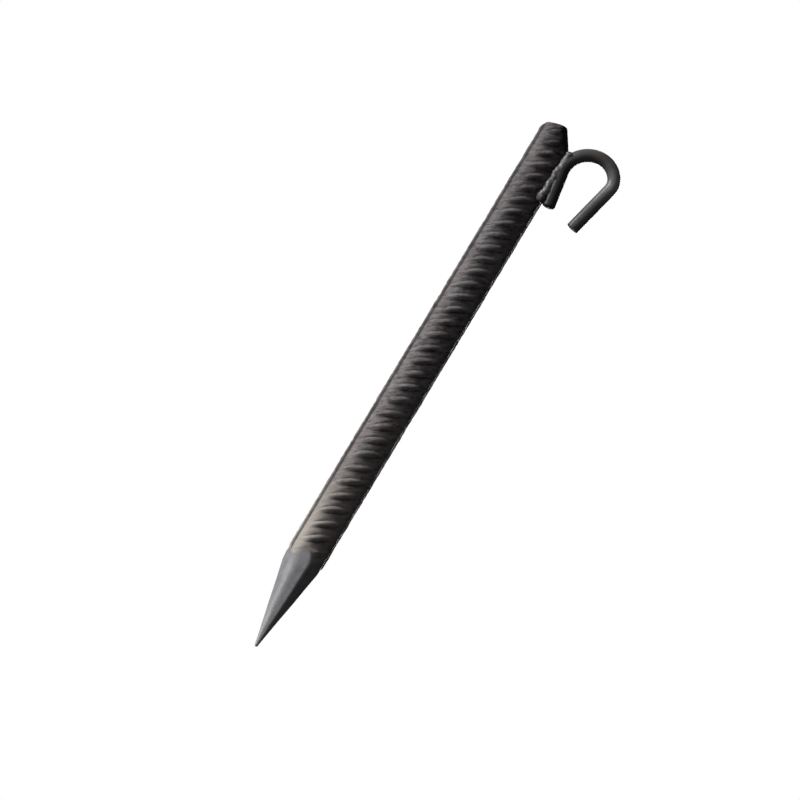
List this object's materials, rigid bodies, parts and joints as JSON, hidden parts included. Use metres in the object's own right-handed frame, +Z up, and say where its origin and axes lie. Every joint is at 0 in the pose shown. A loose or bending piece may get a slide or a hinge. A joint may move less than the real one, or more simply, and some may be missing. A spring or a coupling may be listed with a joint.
{
  "type": "tent stake",
  "caption": "Heavy ground stake of ribbed steel bar with a ground six-sided point, a sheared striking head and a bent wire hook welded to its side for a guy line.",
  "frame": {"origin": "on the bar's axis, level with the end of the point", "axes": "+Z up along the bar from point to head, +X towards the hook's open side, -Y the front, the side the hook's plane lies on"},
  "size_m": [0.0485, 0.0222, 0.3003],
  "materials": {
    "bar_steel": "thin black coat on hot-rolled steel, worn on the rib crests and the point",
    "hook_wire": "thin black coat on round wire rod, satin",
    "weld_metal": "rippled arc weld under the same black coat"
  },
  "bodies": {
    "root": {"ribbed_bar": "bar_steel", "wire_hook": "hook_wire", "weld_bead_front": "weld_metal", "weld_bead_back": "weld_metal"}
  },
  "joints": []
}
